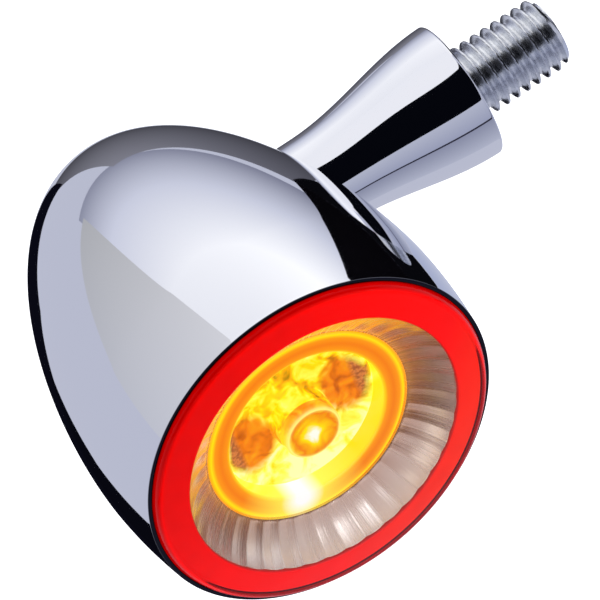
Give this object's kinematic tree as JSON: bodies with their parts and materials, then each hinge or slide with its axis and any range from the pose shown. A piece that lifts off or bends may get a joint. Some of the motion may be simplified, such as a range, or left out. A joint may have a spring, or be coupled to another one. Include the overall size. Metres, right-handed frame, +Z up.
{
  "type": "motorcycle turn signal",
  "caption": "Chromed bullet turn signal with an amber centre light and a red ring light, on a swivelling flared stalk with a hollow threaded stud.",
  "frame": {"origin": "centre of the stalk's seat face, where the lamp stands against what it is fixed to", "axes": "+X along the stud outwards, the lens faces -Y, +Z up"},
  "size_m": [0.0649, 0.049, 0.039],
  "materials": {
    "chromed_casting": "bright chrome plate on a polished die casting",
    "chromed_stalk": "bright chrome plate on a turned stalk",
    "zinc_stud": "rolled thread, zinc plated",
    "clear_lens": "clear moulded acrylic, polished",
    "red_ring_light": "red light guide, lit",
    "metallised_reflector": "vacuum metallised, softly fluted",
    "amber_diffuser": "frosted ring, lit amber",
    "amber_optic": "clear moulded optic, lit amber",
    "amber_light": "phosphor window, lit",
    "red_light": "clear window, lit red",
    "black_rubber": "moulded silicone, matt",
    "black_plastic": "moulded, fine grain",
    "white_plastic": "moulded nylon",
    "white_board": "white solder mask",
    "green_board": "green solder mask",
    "ferrite": "ferrite core",
    "capacitor_body": "moulded tantalum body",
    "bearing_bronze": "sintered bronze",
    "plain_steel": "zinc plated"
  },
  "bodies": {
    "mounting": {"stalk": "chromed_stalk", "hollow_stud": "zinc_stud", "journal_seal": "black_rubber", "tab_washer": "plain_steel", "disc_spring": "plain_steel", "retaining_nut": "plain_steel", "wire_grommet": "black_rubber"},
    "head": {"housing_shell": "chromed_casting", "front_lens": "clear_lens", "light_guide_ring": "red_ring_light", "lens_gasket": "black_rubber", "reflector": "metallised_reflector", "diffuser_ring": "amber_diffuser", "collimator": "amber_optic", "optic_holder": "black_plastic", "led_board": "white_board", "amber_leds": "amber_light", "red_leds": "red_light", "board_screws": "plain_steel", "board_spacers": "white_plastic", "driver_board": "green_board", "pin_header": "black_plastic", "driver_chip": "black_plastic", "inductor": "ferrite", "capacitors": "capacitor_body", "diodes": "black_plastic", "chip_resistors": "black_plastic", "lead_socket": "white_plastic", "thrust_washer": "bearing_bronze", "slip_washer": "white_plastic"}
  },
  "joints": [
    {"name": "aim_swivel", "type": "hinge", "parent": "mounting", "child": "head", "pos_m": [-0.0232, 0, 0], "axis": [1, 0, 0], "range_deg": [-35, 35]}
  ]
}
